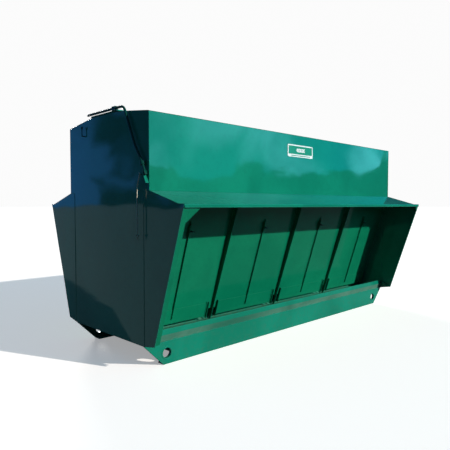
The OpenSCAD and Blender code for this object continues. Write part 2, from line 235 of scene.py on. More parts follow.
GREEN = (0.0012, 0.150, 0.090)
GREEN_LIGHT = (0.0016, 0.190, 0.115)
OUTER = enamel("green_outer", GREEN, GREEN_LIGHT)
INNER = enamel("green_inner", (0.0012, 0.135, 0.066), (0.003, 0.175, 0.085), (0.38, 0.5), 0.06, coat=0.35)
BASE = enamel("green_base", GREEN, (0.002, 0.200, 0.125), (0.34, 0.46), 0.15, 0.10, 0.15, 0.7)
TROUGH = enamel("green_trough", GREEN, (0.006, 0.20, 0.125), (0.4, 0.55), 0.30, 0.10, 0.3, 0.3)
# painted reflection: an olive green standing in for the ground mirrored in the board's downward-tilted band,
# with some real dust and splashes
BAND_DUST_AND_REFLECTION = enamel("green_dust_and_ground_reflection", (0.022, 0.125, 0.080), (0.085, 0.215, 0.150), (0.5, 0.6), 0.1, 0.25, 0.1, 0.1)
TRIM = enamel("green_trim", GREEN, (0.004, 0.19, 0.125), (0.3, 0.42), 0.1, 0.0, 0.2, 0.8)
# partly painted highlight: a lighter, bluer green on every rounded edge, together with real chips and wear
EDGE_WEAR_AND_HIGHLIGHT = enamel("green_edge_wear_and_highlight", (0.006, 0.20, 0.135), (0.02, 0.26, 0.19), (0.36, 0.48), 0.1, 0.1, 0.5, 0.5)
# painted shade: a darker green for parts that sit in shadow, under the base and the lid and along the gates'
# edges
PAINTED_SHADE = enamel("green_painted_shade", (0.002, 0.08, 0.05), (0.004, 0.11, 0.07), (0.4, 0.5), 0.2, 0.1, 0.2, 0.3)
# painted shade: a near-black green for the lever, its catch, collar and clips and the clamp screws, standing
# in for the shade they sit in
PAINTED_SHADE_BAR = enamel("green_bar_painted_shade", (0.002, 0.040, 0.030), (0.003, 0.060, 0.045), (0.35, 0.5), 0.1, 0.0, 0.4, 0.4)
ZINC = zinc("zinc_plate", (0.50, 0.51, 0.52), (0.32, 0.55))
WHITE = enamel("white_enamel", (0.70, 0.71, 0.70), (0.80, 0.80, 0.78), (0.25, 0.35), 0.05, coat=0.4)
PANEL = enamel("panel_green", (0.010, 0.200, 0.115), (0.016, 0.25, 0.15), (0.25, 0.35), 0.05, coat=0.4)
ROPE = fibre("rope_fibre", (0.62, 0.55, 0.43), (0.33, 0.28, 0.21))

# ---------------------------------------------------------------- building blocks


def finish_piece(name, bm, mats, body, nodes=(), smooth=True, weighted=True):
    """Turns a bmesh into a piece that rides on its body and stands for its CAD nodes."""
    bmesh.ops.recalc_face_normals(bm, faces=bm.faces)
    mesh = bpy.data.meshes.new(name)
    bm.to_mesh(mesh)
    bm.free()
    for m in mats:
        mesh.materials.append(m)
    mesh.polygons.foreach_set("use_smooth", [smooth] * len(mesh.polygons))
    o = bpy.data.objects.new(name, mesh)
    bpy.context.scene.collection.objects.link(o)
    if smooth and weighted:
        mesh.set_sharp_from_angle(angle=math.radians(50))
        mod = o.modifiers.new("normals", "WEIGHTED_NORMAL")
        mod.keep_sharp = True
        mod.weight = 90
    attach(o, body)
    if nodes:
        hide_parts(*nodes)
    return o


def body_of(node):
    return NODES[node]["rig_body"]


def node_bmesh(node):
    bm = bmesh.new()
    bm.from_mesh(NODES[node].data)
    bmesh.ops.remove_doubles(bm, verts=bm.verts, dist=2e-5)
    bmesh.ops.dissolve_limit(bm, angle_limit=math.radians(0.4), verts=bm.verts, edges=bm.edges)
    return bm


SHARP_LEAST = 28
EDGE_SLOT = 1


def soften(bm, width, steps=2):
    """Rounds every sharp edge. The rounded strip takes the material for edges."""
    sharp = [e for e in bm.edges
             if len(e.link_faces) == 2 and e.calc_face_angle(0) > math.radians(SHARP_LEAST)]
    bmesh.ops.bevel(bm, geom=sharp, offset=width, offset_type="OFFSET", segments=steps, profile=0.5,
                    affect="EDGES", clamp_overlap=True, material=EDGE_SLOT)


def cut(bm, axis, step):
    """Adds lines across the faces every step along an axis."""
    co = [v.co[axis] for v in bm.verts]
    lo, hi = min(co), max(co)
    n = max(1, round((hi - lo) / step))
    normal = Vector((0, 0, 0))
    normal[axis] = 1
    for i in range(1, n):
        at = Vector((0, 0, 0))
        at[axis] = lo + (hi - lo) * i / n
        geom = bm.verts[:] + bm.edges[:] + bm.faces[:]
        bmesh.ops.bisect_plane(bm, geom=geom, dist=1e-6, plane_co=at, plane_no=normal)


def edge_mask(value, lo, hi, margin):
    d = min(value - lo, hi - value) / margin
    d = max(0.0, min(1.0, d))
    return d * d * (3 - 2 * d)


def ripple_plate(bm, normal_axis, amp, margin=0.18, freq=1.7, seed=0.0, one_way=0):
    """Slow unevenness of rolled sheet, none at the plate's box edges."""
    axes = [a for a in range(3) if a != normal_axis]
    lims = [(min(v.co[a] for v in bm.verts), max(v.co[a] for v in bm.verts)) for a in axes]
    for v in bm.verts:
        m = 1.0
        for a, (lo, hi) in zip(axes, lims):
            m *= edge_mask(v.co[a], lo, hi, margin)
        p = Vector((v.co[axes[0]] * freq + seed, v.co[axes[1]] * freq, seed * 3.1))
        w = noise.noise(p) + 0.4 * noise.noise(p * 2.3)
        if one_way:
            w = one_way * abs(w)
        v.co[normal_axis] += amp * m * w


def plate(node, mat, width=0.0012, steps=2, step=None, ripple=None, edge=None):
    """A CAD node's own shape with its edges rounded, cut fine enough to carry ripples."""
    bm = node_bmesh(node)
    soften(bm, width, steps)
    for axis, size in (step or {}).items():
        cut(bm, axis, size)
    if ripple:
        ripple_plate(bm, **ripple)
    # rounded edges take the lighter edge green, a painted highlight mixed with real wear, unless a piece
    # gives its own
    return finish_piece(node + "_piece", bm, [mat, edge or EDGE_WEAR_AND_HIGHLIGHT], body_of(node), [node])


def section_of(node):
    """Outline of a node that runs along X, as [y, z] points of its end face."""
    bm = node_bmesh(node)
    face = max((f for f in bm.faces if f.normal.x < -0.99), key=lambda f: f.calc_area())
    pts = [Vector((v.co.y, v.co.z)) for v in face.verts]
    lo, hi = min(v.co.x for v in bm.verts), max(v.co.x for v in bm.verts)
    bm.free()
    return pts, lo, hi


def rounded(pts, convex, reflex, arc=4):
    """The outline with an arc at each corner, as large as the sides beside it allow."""
    n = len(pts)
    area = sum(pts[i - 1].x * pts[i].y - pts[i].x * pts[i - 1].y for i in range(n))
    out = []
    for i in range(n):
        a, b, c = pts[i - 1], pts[i], pts[(i + 1) % n]
        u, v = a - b, c - b
        lu, lv = u.length, v.length
        u, v = u / lu, v / lv
        ang = math.acos(max(-1, min(1, u.dot(v))))
        turn = ((b - a).x * (c - b).y - (b - a).y * (c - b).x) * area
        if ang > math.radians(178):
            out.append(b)
            continue
        half = ang / 2
        reach = min((convex if turn > 0 else reflex) / math.tan(half), 0.45 * lu, 0.45 * lv)
        r = reach * math.tan(half)
        centre = b + (u + v).normalized() * (r / math.sin(half))
        start = b + u * reach - centre
        end = b + v * reach - centre
        a0 = math.atan2(start.y, start.x)
        span = (math.atan2(end.y, end.x) - a0 + math.pi) % (2 * math.pi) - math.pi
        for k in range(arc + 1):
            t = a0 + span * k / arc
            out.append(centre + Vector((math.cos(t), math.sin(t))) * r)
    return out


def refined(pts, step):
    out = []
    for i, a in enumerate(pts):
        b = pts[(i + 1) % len(pts)]
        n = max(1, math.ceil((b - a).length / step))
        out += [a.lerp(b, k / n) for k in range(n)]
    return out


def run_along(node, mat, radii=(0.007, 0.003), fine=0.08, step=0.11, spans=(), amp=0.0012,
              one_way=0, seed=0.0, low_mat=None, low_z=0.0):
    """A folded sheet that runs along X, with real bends and uneven flats.

    spans lists the flats as ((y, z), (y, z)) with the sheet moved square to them."""
    pts, x0, x1 = section_of(node)
    pts = refined(rounded(pts, *radii), fine)
    n = max(2, round((x1 - x0) / step))
    bm = bmesh.new()
    rings = []
    for i in range(n + 1):
        x = x0 + (x1 - x0) * i / n
        ring = []
        for p in pts:
            off = Vector((0.0, 0.0))
            for a, b in spans:
                a, b = Vector(a), Vector(b)
                d = b - a
                length = d.length
                d /= length
                s = (p - a).dot(d)
                side = Vector((-d.y, d.x))
                if 0 < s < length and abs((p - a).dot(side)) < 0.012:
                    q = Vector((x * 1.5 + seed, s * 1.9, seed * 1.7))
                    w = noise.noise(q) + 0.4 * noise.noise(q * 2.2)
                    if one_way:
                        w = one_way * abs(w)
                    off = side * (amp * w * edge_mask(x, x0, x1, 0.25) * edge_mask(s, 0, length, 0.14))
            ring.append(bm.verts.new((x, p.x + off.x, p.y + off.y)))
        rings.append(ring)
    m = len(pts)
    for a, b in zip(rings, rings[1:]):
        for k in range(m):
            f = bm.faces.new((a[k], a[(k + 1) % m], b[(k + 1) % m], b[k]))
            middle = (pts[k] + pts[(k + 1) % m]) / 2
            f.material_index = 1 if low_mat and middle.y < low_z else 0
    bm.faces.new(rings[0])
    bm.faces.new(rings[-1])
    mats = [mat, low_mat] if low_mat else [mat]
    return finish_piece(node + "_piece", bm, mats, body_of(node), [node])


def frames_along(path):
    """Directions along a path with side vectors that don't spin."""
    out = []
    d = (path[1] - path[0]).normalized()
    side = d.orthogonal().normalized()
    for i in range(len(path)):
        a, b = path[max(i - 1, 0)], path[min(i + 1, len(path) - 1)]
        d = (b - a).normalized()
        side = (side - d * side.dot(d)).normalized()
        out.append((d, side, d.cross(side)))
    return out


def sweep(bm, path, radius, sides, shape=None, dome=False):
    """A tube along a path. radius is a number or a list, shape a function of angle and distance."""
    travelled = 0.0
    rings = []
    fr = frames_along(path)
    for i, p in enumerate(path):
        if i:
            travelled += (p - path[i - 1]).length
        d, s, t = fr[i]
        r = radius[i] if isinstance(radius, list) else radius
        ring = []
        for k in range(sides):
            a = 2 * math.pi * k / sides
            q = r * (shape(a, travelled) if shape else 1.0)
            ring.append(bm.verts.new(p + (s * math.cos(a) + t * math.sin(a)) * q))
        rings.append(ring)
    for a, b in zip(rings, rings[1:]):
        for k in range(sides):
            bm.faces.new((a[k], a[(k + 1) % sides], b[(k + 1) % sides], b[k]))
    for ring, (d, s, t), sign in ((rings[0], fr[0], -1), (rings[-1], fr[-1], 1)):
        if dome:
            middle = sum((v.co for v in ring), Vector()) / sides
            r = (ring[0].co - middle).length
            last = ring
            for turn in (0.38, 0.7, 0.92):
                up, inn = math.sin(turn * math.pi / 2), math.cos(turn * math.pi / 2)
                new = [bm.verts.new(middle + (v.co - middle) * inn + d * sign * r * up * 0.8) for v in ring]
                for k in range(sides):
                    j = (k + 1) % sides
                    bm.faces.new((last[k], last[j], new[j], new[k]))
                last = new
            bm.faces.new(last)
        else:
            bm.faces.new(ring)


def lathe(bm, at, axis, profile, sides):
    """profile: (radius, height along the axis) points, closed by flat discs."""
    axis = Vector(axis).normalized()
    s = axis.orthogonal().normalized()
    t = axis.cross(s)
    at = Vector(at)
    rings = []
    for r, h in profile:
        turn = [2 * math.pi * k / sides for k in range(sides)]
        rings.append([bm.verts.new(at + axis * h + (s * math.cos(a) + t * math.sin(a)) * r) for a in turn])
    for a, b in zip(rings, rings[1:]):
        for k in range(sides):
            bm.faces.new((a[k], a[(k + 1) % sides], b[(k + 1) % sides], b[k]))
    bm.faces.new(rings[0])
    bm.faces.new(rings[-1])


def ring_of(bm, at, axis, profile, sides):
    """A closed loop profile turned round an axis, such as a sleeve."""
    axis = Vector(axis).normalized()
    s = axis.orthogonal().normalized()
    t = axis.cross(s)
    at = Vector(at)
    rings = []
    for k in range(sides):
        a = 2 * math.pi * k / sides
        out = s * math.cos(a) + t * math.sin(a)
        rings.append([bm.verts.new(at + axis * h + out * r) for r, h in profile])
    m = len(profile)
    for i in range(sides):
        a, b = rings[i], rings[(i + 1) % sides]
        for k in range(m):
            bm.faces.new((a[k], a[(k + 1) % m], b[(k + 1) % m], b[k]))


def hex_bolt(bm, at, axis, across, tall):
    """A washer with a chamfered hexagon on it."""
    axis = Vector(axis).normalized()
    at = Vector(at)
    r = across / math.sqrt(3)
    lathe(bm, at, axis, [(r * 1.55, 0), (r * 1.6, 0.0006), (r * 1.52, 0.0016), (r, 0.0017)], 24)
    s = axis.orthogonal().normalized()
    t = axis.cross(s)
    rings = []
    for rr, h in ((r, 0.0016), (r, 0.0016 + tall * 0.82), (r * 0.86, 0.0016 + tall)):
        turn = [math.pi * k / 3 for k in range(6)]
        rings.append([bm.verts.new(at + axis * h + (s * math.cos(a) + t * math.sin(a)) * rr) for a in turn])
    for a, b in zip(rings, rings[1:]):
        for k in range(6):
            bm.faces.new((a[k], a[(k + 1) % 6], b[(k + 1) % 6], b[k]))
    bm.faces.new(rings[-1])


def bead(bm, a, b, r, pitch=0.008):
    """A weld bead laid from a to b, with its ripples and a slightly wandering width."""
    a, b = Vector(a), Vector(b)
    length = (b - a).length
    n = max(4, math.ceil(length / (pitch / 2)))
    path = [a.lerp(b, i / n) for i in range(n + 1)]
    radii = []
    for i, p in enumerate(path):
        wander = 1 + 0.14 * noise.noise(p * 31)
        end = min(1.0, 0.45 + min(i, n - i) * 0.2)
        radii.append(r * wander * end * (1.0 if i % 2 else 0.84))
    sweep(bm, path, radii, 6)


def stitches(bm, a, b, r, long=0.06, gap=0.19):
    """Short beads with gaps between them."""
    a, b = Vector(a), Vector(b)
    length = (b - a).length
    n = max(1, round(length / (long + gap)))
    for i in range(n):
        mid = (i + 0.5) / n
        half = long / 2 / length
        bead(bm, a.lerp(b, mid - half), a.lerp(b, mid + half), r)


def smooth_path(corners, radii, step=0.006):
    """Straight runs joined by arcs, as points about a step apart."""
    pts = [Vector(c) for c in corners]
    out = [pts[0]]
    for i in range(1, len(pts) - 1):
        a, b, c = pts[i - 1], pts[i], pts[i + 1]
        u, v = (a - b).normalized(), (c - b).normalized()
        half = u.angle(v) / 2
        r = radii[i - 1]
        reach = r / math.tan(half)
        centre = b + (u + v).normalized() * (r / math.sin(half))
        start, end = b + u * reach - centre, b + v * reach - centre
        span = start.angle(end)
        n = max(4, math.ceil(span * r / step))
        for k in range(n + 1):
            t = k / n
            w = (start * math.sin((1 - t) * span) + end * math.sin(t * span)) / math.sin(span)
            out.append(centre + w)
    out.append(pts[-1])
    dense = [out[0]]
    for p in out[1:]:
        gap = (p - dense[-1]).length
        n = max(1, math.ceil(gap / (step * 4)))
        start = dense[-1]
        dense += [start.lerp(p, k / n) for k in range(1, n + 1)]
    return dense


# ---------------------------------------------------------------- cord

CORD_X, CORD_Y = -2.298, -0.664
# The cord's route in millimetres: x and y from the pin, z from the ground
ROUTE = [
    (0, 0, 1787), (0, 0, 1780), (0, 5, 1762), (-1, 16, 1736), (-2, 24, 1706),
    (-2, 29, 1674), (-1, 32, 1642), (0, 34, 1610), (0, 36, 1580), (0, 36, 1550),
    (0, 35, 1520), (-1, 34, 1490), (-2, 33, 1460), (-2, 32, 1430), (-1, 31, 1400),
    (0, 31, 1370), (0, 31, 1340), (0, 32, 1310), (0, 32, 1280), (0, 32, 1262),
]
CORD_R = 0.006


def strand_shape(lay, turns=3):
    """Outline of a three-strand rope, turning once per lay."""
    def shape(a, s):
        f = (a - 2 * math.pi * s / lay) % (2 * math.pi / turns) - math.pi / turns
        inside = 0.464 ** 2 - (0.536 * math.sin(f)) ** 2
        return max(0.62, 0.536 * math.cos(f) + math.sqrt(max(0.0, inside)))
    return shape


def rope_points(route, step=0.0016):
    dense = []
    for i in range(len(route) - 1):
        p0, p1, p2, p3 = (route[max(0, min(len(route) - 1, i + k))] for k in (-1, 0, 1, 2))
        n = max(2, math.ceil((p2 - p1).length / step))
        for k in range(n):
            t = k / n
            dense.append(0.5 * (2 * p1 + (p2 - p0) * t + (2 * p0 - 5 * p1 + 4 * p2 - p3) * t * t
                                + (3 * p1 - p0 - 3 * p2 + p3) * t ** 3))
    dense.append(route[-1])
    return dense


def make_cord():
    route = [Vector((CORD_X + x / 1000, CORD_Y + y / 1000, z / 1000)) for x, y, z in ROUTE]
    path = rope_points(route)
    bm = bmesh.new()
    sweep(bm, path, CORD_R, 24, shape=strand_shape(0.042))
    rope = finish_piece("cord_rope", bm, [ROPE], "cord", ["cord"], weighted=False)
    bm = bmesh.new()
    middle = route[-1] - Vector((0, 0, 0.015))
    loop = []
    for k in range(121):
        a = 2 * math.pi * k / 120
        r = 0.0088 + 0.0034 * math.cos(3 * a)
        loop.append(middle + Vector((r * math.cos(2 * a), r * math.sin(2 * a), 0.0052 * math.sin(3 * a))))
    sweep(bm, loop, 0.0052, 16, shape=strand_shape(0.030))
    for k in range(3):
        a = 2 * math.pi * k / 3 + 0.4
        tip = Vector((0.007 * math.cos(a), 0.007 * math.sin(a), -0.034))
        pts = [middle + Vector((0.002 * math.cos(a), 0.002 * math.sin(a), -0.006)) + tip * t * (0.7 + 0.3 * t)
               for t in (0, 0.25, 0.5, 0.75, 1)]
        sweep(bm, pts, [0.0028, 0.0027, 0.0027, 0.0025, 0.0016], 10)
    knot = finish_piece("cord_end_knot", bm, [ROPE], "cord", ["cord_knot"], weighted=False)
    bm = bmesh.new()
    pin = Vector((CORD_X, CORD_Y, 1.800))
    ring_of(bm, pin - Vector((0.005, 0, 0)), (1, 0, 0),
            [(0.0064, 0), (0.0130, 0), (0.0127, 0.0012), (0.0092, 0.0034), (0.0085, 0.005),
             (0.0092, 0.0066), (0.0127, 0.0088), (0.0130, 0.010), (0.0064, 0.010)], 36)
    thimble = finish_piece("cord_thimble_ring", bm, [ZINC], "cord", ["cord_thimble"])
    bm = bmesh.new()
    loop = [pin + Vector((0, 0.0128 * math.sin(t), -0.0128 * math.cos(t)))
            for t in [math.radians(38 + 284 * k / 48) for k in range(49)]]
    sweep(bm, loop, 0.0046, 14, shape=strand_shape(0.036))
    for k in range(5):
        z = 1.7865 - 0.0034 * k
        ring_of(bm, (CORD_X, CORD_Y, z), (0, 0, 1),
                [(0.0058 + 0.0015 * math.cos(t), 0.0015 * math.sin(t)) for t in
                 [2 * math.pi * j / 8 for j in range(8)]], 24)
    eye = finish_piece("cord_eye", bm, [ROPE], "cord", (), weighted=False)


make_cord()

# ---------------------------------------------------------------- sheets of the body

# Half length over the end sheets, and how far out the wings' seams are
HALF = 2.25
SEAM = 0.660
# Corners of the section, each as (outward, up)
SHOULDER = (0.750, 1.655)
LIP = (1.240, 1.535)
EDGE = (1.166, 1.537)
EAVES = (0.750, 2.365)
KNEE = (0.240, 2.428)
WALL_FOOT_Z = 0.365
# The hopper wall leans in from the shoulder by this much for each metre down
WALL_LEAN = 0.447 / 1.407


# Below this the trough board hangs over the skid; its paint there is olive, a painted reflection of the
# ground below, with some real dust
BOARD_FOLD_Z = 0.2865


def mirrored(pairs, side):
    """Spans given for the front as (outward, up), turned to [y, z] on one side."""
    return [((side * a[0], a[1]), (side * b[0], b[1])) for a, b in pairs]


def wall_u(z):
    """How far out the hopper wall's face is at a height."""
    return SHOULDER[0] - WALL_LEAN * (SHOULDER[1] - z)


WALL_FOOT = (wall_u(WALL_FOOT_Z), WALL_FOOT_Z)

for tag, side, seed in (("front", -1, 1.3), ("rear", 1, 8.4)):
    run_along("side_" + tag, OUTER, spans=mirrored([(SHOULDER, EAVES)], side), amp=0.0026, seed=seed)
    run_along("canopy_" + tag, OUTER, (0.008, 0.004), spans=mirrored([(SHOULDER, EDGE)], side),
              amp=0.0022, seed=seed + 2)
    run_along("roof_" + tag, OUTER, (0.006, 0.003), spans=mirrored([(EAVES, KNEE)], side),
              amp=0.002, seed=seed + 4)
    run_along("hopper_wall_" + tag, INNER, spans=mirrored([(SHOULDER, WALL_FOOT)], side), amp=0.0016,
              one_way=1 if side < 0 else -1, seed=seed + 6)
    # the board's lower band takes the olive paint, a painted reflection of the ground mixed with real dust
    run_along("trough_board_" + tag, BASE, (0.005, 0.002), fine=0.05, amp=0,
              low_mat=BAND_DUST_AND_REFLECTION, low_z=BOARD_FOLD_Z)

for tag in ("left", "right"):
    plate("end_sheet_" + tag, OUTER, 0.0016, 2, {1: 0.1, 2: 0.1},
          {"normal_axis": 0, "amp": 0.0034, "margin": 0.16, "freq": 1.6,
           "seed": 3.0 if tag == "left" else 5.5})
    for side in ("front", "rear"):
        plate(f"wing_{tag}_{side}", OUTER, 0.0016, 2, {1: 0.08, 2: 0.08},
              {"normal_axis": 0, "amp": 0.0026, "margin": 0.14, "freq": 2.2, "seed": 9.0})

for tag in ("front", "rear"):
    plate("skid_" + tag, BASE, 0.002, 2, {0: 0.2, 2: 0.07},
          {"normal_axis": 1, "amp": 0.0007, "margin": 0.05, "freq": 2.2, "seed": 4.0})
    plate("webs_" + tag, INNER, 0.0014)
    plate("gate_guides_" + tag, INNER, 0.0006, 1)
    plate("bar_straps_" + tag, INNER, 0.001)
plate("lid", OUTER, 0.0018, 3, {0: 0.15, 1: 0.1},
      {"normal_axis": 2, "amp": 0.0012, "margin": 0.12, "freq": 2.0, "seed": 6.0})
plate("trough_floor", TROUGH, 0.001, 1, {0: 0.2, 1: 0.15})
plate("deflector", TROUGH, 0.001, 1)
plate("trough_stays", BASE, 0.001)
plate("runner_feet", BASE, 0.002)
# painted shade: the cross members under the base are painted darker for the shadow they sit in
plate("cross_members", PAINTED_SHADE, 0.004, 3)
plate("tie_bars", INNER, 0.001)
for tag in ("left", "right"):
    plate("opening_frame_" + tag, INNER, 0.0008)
# painted shade: the gates' rounded edges take the darker green, standing in for the thin shadow line at the
# wall's lower edge
for i in (1, 2, 3, 4):
    plate(f"gate_f{i}", INNER, 0.0008, edge=PAINTED_SHADE)
    plate(f"gate_r{i}", INNER, 0.0008, edge=PAINTED_SHADE)
# painted shade: the lid's stiffeners are painted darker for the shade under the lid
plate("lid_stiffeners", PAINTED_SHADE, 0.001)
plate("hinge_bases", TRIM, 0.0012)
plate("hinge_knuckles", TRIM, 0.0012)
# painted shade: the catch, the collar and the clips take the near-black green
plate("open_catch", PAINTED_SHADE_BAR, 0.0014, edge=PAINTED_SHADE_BAR)
plate("lever_paddle", TRIM, 0.0022, 3)
plate("cord_arm", TRIM, 0.0012)
plate("lever_collar", PAINTED_SHADE_BAR, 0.0025, 3, edge=PAINTED_SHADE_BAR)
plate("lever_clips", PAINTED_SHADE_BAR, 0.0022, 3, edge=PAINTED_SHADE_BAR)

# ---------------------------------------------------------------- lever

LEVER_X = -2.276
LEVER_D = 0.025


def make_lever():
    corners = [(0.290, 2.452), (-0.387, 2.452), (-0.568, 2.070), (-0.668, 1.930), (-0.730, 1.800)]
    path = smooth_path([(LEVER_X, y, z) for y, z in corners], [0.075, 0.25, 0.35])
    bm = bmesh.new()
    sweep(bm, path, LEVER_D / 2, 24, dome=True)
    # painted shade: the lever bar is painted near black for the shade it stands in beside the end sheet
    finish_piece("lever_bar", bm, [PAINTED_SHADE_BAR], "lid", ["lever"], weighted=False)


make_lever()

# ---------------------------------------------------------------- tow sleeves, screws, pins


def make_sleeves():
    bm = bmesh.new()
    r, outer, depth, lip, nick = 0.048, 0.060, 0.034, 0.003, 0.002
    prof = [(r, lip), (r + lip, 0), (outer - nick, 0), (outer, nick),
            (outer, depth - nick), (outer - nick, depth), (r, depth)]
    for x in (-1.985, 1.985):
        for side in (-1, 1):
            at = Vector((x, side * 0.652, 0.108))
            ring_of(bm, at, (0, -side, 0), prof, 64)
            ring_of(bm, at + Vector((0, -side * 0.0022, 0)), (0, side, 0),
                    [(outer + 0.0042 * math.cos(a), 0.003 * math.sin(a)) for a in
                     [2 * math.pi * k / 8 for k in range(8)]], 72)
    finish_piece("tow_sleeves_piece", bm, [BASE], "feeder", ["tow_sleeves"])


make_sleeves()

def on_wall(side, x, z):
    """Matrix of the wall's outer face: X along, Y up the slope, Z outward."""
    turn = Matrix.Rotation(math.pi / 2 + math.atan(WALL_LEAN), 4, "X")
    place = Matrix.Translation((x, -wall_u(z), z)) @ turn
    return place if side < 0 else Matrix.Scale(-1, 4, (0, 1, 0)) @ place


BAYS = (-1.6875, -0.5625, 0.5625, 1.6875)


def make_clamps(tag, side):
    """Clamp screws in mid-bay: a threaded shank, a nut, a collar and a tommy bar with knobs."""
    bm = bmesh.new()
    knob = [(0.0040, -0.004), (0.0060, -0.002), (0.0066, 0.0005), (0.0055, 0.003), (0.003, 0.0045)]
    for x in BAYS:
        m = on_wall(side, x, 1.275)
        axis = (m.to_3x3() @ Vector((0, 0, 1))).normalized()
        low = m @ Vector((0, 0, 0.0190))
        prof = [(0.0046, 0)]
        for k in range(14):
            prof += [(0.0050, 0.001 + 0.0016 * k), (0.0043, 0.0018 + 0.0016 * k)]
        prof += [(0.0050, 0.025), (0.0050, 0.0375)]
        lathe(bm, low, axis, prof, 20)
        lathe(bm, m @ Vector((0, 0, 0.0305)), axis,
              [(0.0085, 0), (0.0095, 0.001), (0.0095, 0.007), (0.0085, 0.008)], 6)
        lathe(bm, m @ Vector((0, 0, 0.048)), axis,
              [(0.0078, 0), (0.009, 0.0012), (0.009, 0.0108), (0.0078, 0.012)], 24)
        grip = [m @ Vector((dx, 0, 0.054)) for dx in (-0.026, -0.013, 0, 0.013, 0.026)]
        sweep(bm, grip, 0.0038, 14, dome=True)
        for dx in (-0.026, 0.026):
            at = m @ Vector((dx, 0, 0.054))
            out = (m.to_3x3() @ Vector((1 if dx > 0 else -1, 0, 0))).normalized()
            lathe(bm, at, out, knob, 16)
    # painted shade: the clamp screws are painted near black for the canopy's shadow
    finish_piece("clamp_bolts_%s_piece" % tag, bm, [PAINTED_SHADE_BAR], "feeder", ["clamp_bolts_" + tag])


make_clamps("front", -1)
make_clamps("rear", 1)

HINGES = (-1.900, -0.640, 0.640, 1.900)
HINGE_Y, HINGE_Z = -0.272, 2.452


def make_pins():
    bm = bmesh.new()
    for x in HINGES:
        lathe(bm, (x - 0.058, HINGE_Y, HINGE_Z), (1, 0, 0),
              [(0.0032, 0), (0.004, 0.0008), (0.004, 0.1152), (0.0032, 0.116)], 24)
        for dx in (-0.0575, 0.0555):
            ring_of(bm, (x + dx, HINGE_Y, HINGE_Z), (1, 0, 0),
                    [(0.0038, 0), (0.0062, 0), (0.0062, 0.002), (0.0038, 0.002)], 24)
    finish_piece("hinge_pins_piece", bm, [ZINC], "feeder", ["hinge_pins"])


make_pins()


def make_fasteners():
    """Hexagon screws that hold the hinge bases, the knuckles and the lever's clips."""
    bm = bmesh.new()
    slope = (KNEE[1] - EAVES[1]) / (EAVES[0] - KNEE[0])
    row_y, sheet = -0.305, 0.004
    up = Vector((0, -slope, 1)).normalized()
    for x in HINGES:
        for dx in (-0.036, 0.036):
            top = EAVES[1] + slope * (EAVES[0] + row_y) + sheet
            hex_bolt(bm, (x + dx, row_y, top), up, 0.010, 0.005)
    finish_piece("hinge_screws", bm, [ZINC], "feeder", (), smooth=False)
    bm = bmesh.new()
    for y in (-0.250, -0.214):
        hex_bolt(bm, (LEVER_X - 0.018, y, HINGE_Z - 0.0165), (-1, 0, 0), 0.007, 0.004)
    finish_piece("clip_screws", bm, [ZINC], "lid", (), smooth=False)


make_fasteners()

# ---------------------------------------------------------------- weld beads


def make_end_welds(tag, sx):
    bm = bmesh.new()
    x = sx * (HALF + 0.0004)
    for side in (-1, 1):
        bead(bm, (x, side * SEAM, 0.226), (x, side * SEAM, 1.652), 0.0040)
        for a, b in ((SHOULDER, EDGE), (EDGE, LIP), (SHOULDER, EAVES), (EAVES, KNEE)):
            bead(bm, (sx * (HALF - 0.0015), side * (a[0] - 0.0005), a[1] - 0.0008),
                 (sx * (HALF - 0.0015), side * (b[0] - 0.0005), b[1] - 0.0008), 0.0030)
    finish_piece("end_welds_" + tag, bm, [TRIM], "feeder", weighted=False)


make_end_welds("left", -1)
make_end_welds("right", 1)

WEB_X = (-1.125, 0.0, 1.125)


def make_web_welds(tag, side):
    bm = bmesh.new()
    foot, top = 0.372, 1.640
    for x in WEB_X:
        for dx in (-0.0035, 0.0035):
            bead(bm, (x + dx, side * (wall_u(foot) + 0.0008), foot),
                 (x + dx, side * (wall_u(top) + 0.0008), top), 0.0034)
            bead(bm, (x + dx, side * (wall_u(0.224) + 0.004), 0.2255),
                 (x + dx, side * (wall_u(0.224) + 0.028), 0.2255), 0.0034)
    for x in (-2.2446, 2.2446):
        bead(bm, (x, side * wall_u(foot), foot), (x, side * wall_u(top), top), 0.0036)
    finish_piece("web_welds_" + tag, bm, [INNER], "feeder", weighted=False)


make_web_welds("front", -1)
make_web_welds("rear", 1)


def make_base_welds():
    bm = bmesh.new()
    for side in (-1, 1):
        stitches(bm, (-2.0, side * 0.6402, 0.2262), (2.0, side * 0.6402, 0.2262), r=0.0032)
        for x in (-1.885, -0.945, 0.0, 0.945, 1.885):
            for dx in (-0.0405, 0.0405):
                bead(bm, (x + dx, side * 0.6375, 0.104), (x + dx, side * 0.6375, 0.214), 0.0034)
        stitches(bm, (-1.95, side * 0.6375, 0.0125), (1.95, side * 0.6375, 0.0125), r=0.0034)
    finish_piece("base_welds", bm, [BASE], "feeder", weighted=False)


make_base_welds()


def make_gate_welds(node, side, x):
    """Stitches that hold the lifting bar on the gate plate."""
    bm = bmesh.new()
    m = on_wall(side, x, 0.275)
    for y in (0.068, 0.100, 0.132):
        for dx in (-0.0044, 0.0044):
            bead(bm, m @ Vector((dx, y, 0.0046)), m @ Vector((dx, y + 0.018, 0.0046)), 0.0026)
    finish_piece(node + "_welds", bm, [INNER], node, weighted=False)


for i, x in enumerate(BAYS):
    make_gate_welds(f"gate_f{i + 1}", -1, x)
    make_gate_welds(f"gate_r{i + 1}", 1, x)


def make_lever_welds():
    bm = bmesh.new()
    for x in (LEVER_X - 0.010, LEVER_X + 0.010):
        bead(bm, (x, -0.7285, 1.835), (x, -0.7415, 1.805), 0.0028)
    finish_piece("lever_welds", bm, [TRIM], "lid", weighted=False)


make_lever_welds()

# ---------------------------------------------------------------- nameplate


